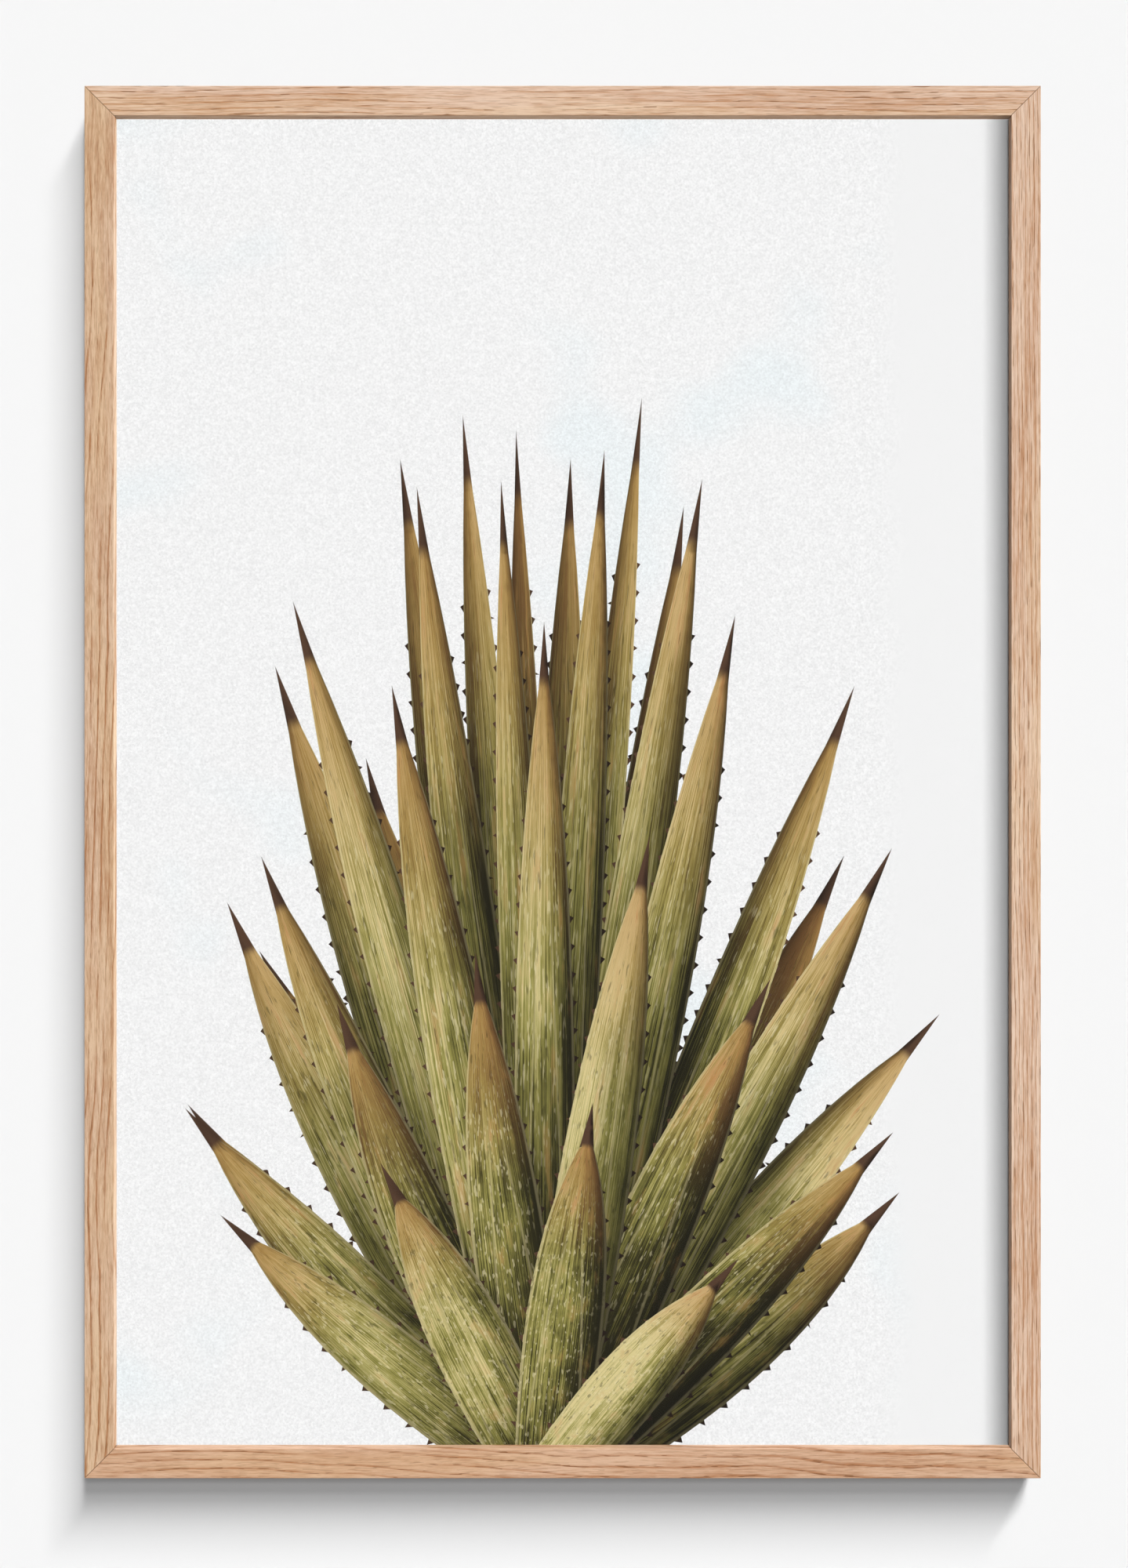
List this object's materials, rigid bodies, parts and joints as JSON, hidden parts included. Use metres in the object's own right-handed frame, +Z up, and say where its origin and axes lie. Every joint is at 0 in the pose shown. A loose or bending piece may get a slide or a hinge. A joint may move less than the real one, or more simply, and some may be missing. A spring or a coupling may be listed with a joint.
{
  "type": "framed art print",
  "caption": "Slim mitred oak frame with a clear sheet over a printed picture, closed at the back by turning clips, that hangs flat on a wall.",
  "frame": {"origin": "middle of the top rail's flat back, which lies against the wall", "axes": "+Z up the wall, +Y into the wall, +X to the right as seen from the front, so the picture faces -Y"},
  "size_m": [0.645, 0.032, 0.939],
  "materials": {
    "oak": "satin",
    "clear_sheet": "polished",
    "art_paper": "matte",
    "foam_core": "matte",
    "fibreboard": "matte",
    "zinc_steel": "satin"
  },
  "bodies": {
    "frame": {"rail_top": "oak", "rail_right": "oak", "rail_bottom": "oak", "rail_left": "oak", "glazing": "clear_sheet", "print_sheet": "art_paper", "foam_board": "foam_core", "back_board": "fibreboard", "rivet_top_left": "zinc_steel", "rivet_top_right": "zinc_steel", "rivet_right_upper": "zinc_steel", "rivet_right_lower": "zinc_steel", "rivet_bottom_right": "zinc_steel", "rivet_bottom_left": "zinc_steel", "rivet_left_lower": "zinc_steel", "rivet_left_upper": "zinc_steel", "hanger_left": "zinc_steel", "hanger_right": "zinc_steel", "screw_left_outer": "zinc_steel", "screw_left_inner": "zinc_steel", "screw_right_outer": "zinc_steel", "screw_right_inner": "zinc_steel"},
    "clip_top_left": {"clip_top_left": "zinc_steel"},
    "clip_top_right": {"clip_top_right": "zinc_steel"},
    "clip_right_upper": {"clip_right_upper": "zinc_steel"},
    "clip_right_lower": {"clip_right_lower": "zinc_steel"},
    "clip_bottom_right": {"clip_bottom_right": "zinc_steel"},
    "clip_bottom_left": {"clip_bottom_left": "zinc_steel"},
    "clip_left_lower": {"clip_left_lower": "zinc_steel"},
    "clip_left_upper": {"clip_left_upper": "zinc_steel"}
  },
  "joints": [
    {"name": "turn_top_left", "type": "hinge", "parent": "frame", "child": "clip_top_left", "pos_m": [-0.11, -0.0086, -0.019], "axis": [0, 1, 0], "range_deg": [-90, 90]},
    {"name": "turn_top_right", "type": "hinge", "parent": "frame", "child": "clip_top_right", "pos_m": [0.11, -0.0086, -0.019], "axis": [0, 1, 0], "range_deg": [-90, 90]},
    {"name": "turn_right_upper", "type": "hinge", "parent": "frame", "child": "clip_right_upper", "pos_m": [0.2965, -0.0086, -0.2345], "axis": [0, 1, 0], "range_deg": [-90, 90]},
    {"name": "turn_right_lower", "type": "hinge", "parent": "frame", "child": "clip_right_lower", "pos_m": [0.2965, -0.0086, -0.6905], "axis": [0, 1, 0], "range_deg": [-90, 90]},
    {"name": "turn_bottom_right", "type": "hinge", "parent": "frame", "child": "clip_bottom_right", "pos_m": [0.11, -0.0086, -0.906], "axis": [0, 1, 0], "range_deg": [-90, 90]},
    {"name": "turn_bottom_left", "type": "hinge", "parent": "frame", "child": "clip_bottom_left", "pos_m": [-0.11, -0.0086, -0.906], "axis": [0, 1, 0], "range_deg": [-90, 90]},
    {"name": "turn_left_lower", "type": "hinge", "parent": "frame", "child": "clip_left_lower", "pos_m": [-0.2965, -0.0086, -0.6905], "axis": [0, 1, 0], "range_deg": [-90, 90]},
    {"name": "turn_left_upper", "type": "hinge", "parent": "frame", "child": "clip_left_upper", "pos_m": [-0.2965, -0.0086, -0.2345], "axis": [0, 1, 0], "range_deg": [-90, 90]}
  ]
}
